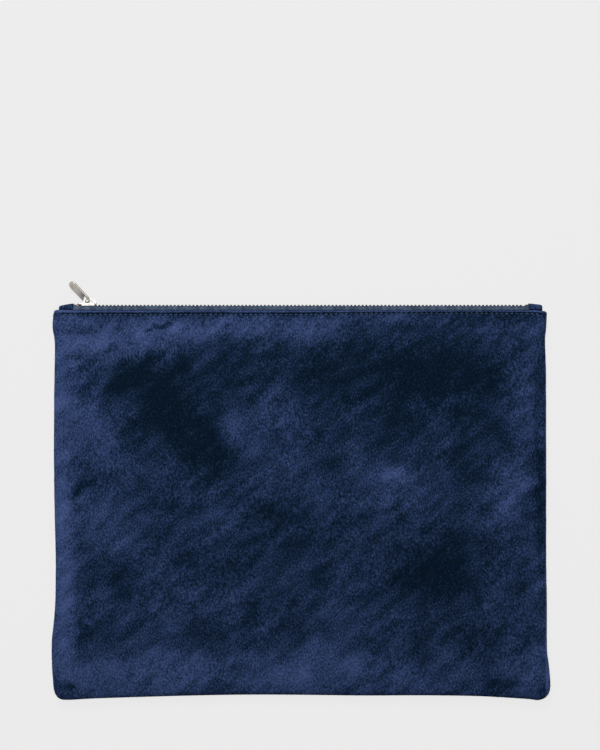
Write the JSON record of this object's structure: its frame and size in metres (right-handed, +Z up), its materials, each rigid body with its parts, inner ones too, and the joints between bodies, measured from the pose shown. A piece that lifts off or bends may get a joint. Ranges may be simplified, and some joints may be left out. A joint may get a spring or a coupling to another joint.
{
  "type": "zippered pouch",
  "caption": "Flat rectangular suede pouch lying on its back, closed along its top edge by a metal-toothed zip with suede end tabs and a swinging pull.",
  "frame": {"origin": "centre of the back panel's outer face, on the surface the pouch lies on", "axes": "+X along the zip from its closed end to its open end, +Y from the bottom seam towards the zip, +Z up out of the front panel"},
  "size_m": [0.3324, 0.2786, 0.0089],
  "materials": {
    "suede": "navy brushed suede",
    "zip_tape": "woven twill tape",
    "chain_metal": "dark nickel",
    "slider_metal": "polished nickel",
    "thread": "twisted sewing thread"
  },
  "bodies": {
    "pouch": {"front_panel": "suede", "back_panel": "suede", "left_end_tab": "suede", "right_end_tab": "suede", "front_tape": "zip_tape", "back_tape": "zip_tape", "front_cord": "zip_tape", "back_cord": "zip_tape", "front_teeth": "chain_metal", "back_teeth": "chain_metal", "front_top_stop": "chain_metal", "back_top_stop": "chain_metal", "bottom_stop": "chain_metal", "front_topstitch": "thread", "back_topstitch": "thread", "front_bobbin_thread": "thread", "back_bobbin_thread": "thread", "front_seam_thread": "thread", "back_seam_thread": "thread"},
    "slider": {"slider_body": "slider_metal", "slider_bail": "slider_metal"},
    "pull": {"pull_tab": "slider_metal"}
  },
  "joints": [
    {"name": "slider_slide", "type": "slide", "parent": "pouch", "child": "slider", "axis": [1, 0, 0], "range_m": [0, 0.2848], "deforming": ["front_teeth", "back_teeth"]},
    {"name": "pull_swing", "type": "hinge", "parent": "slider", "child": "pull", "pos_m": [-0.14155, 0.13403, 0.0039], "axis": [0, 0.1392, 0.9903], "range_deg": [-72, 20]}
  ]
}
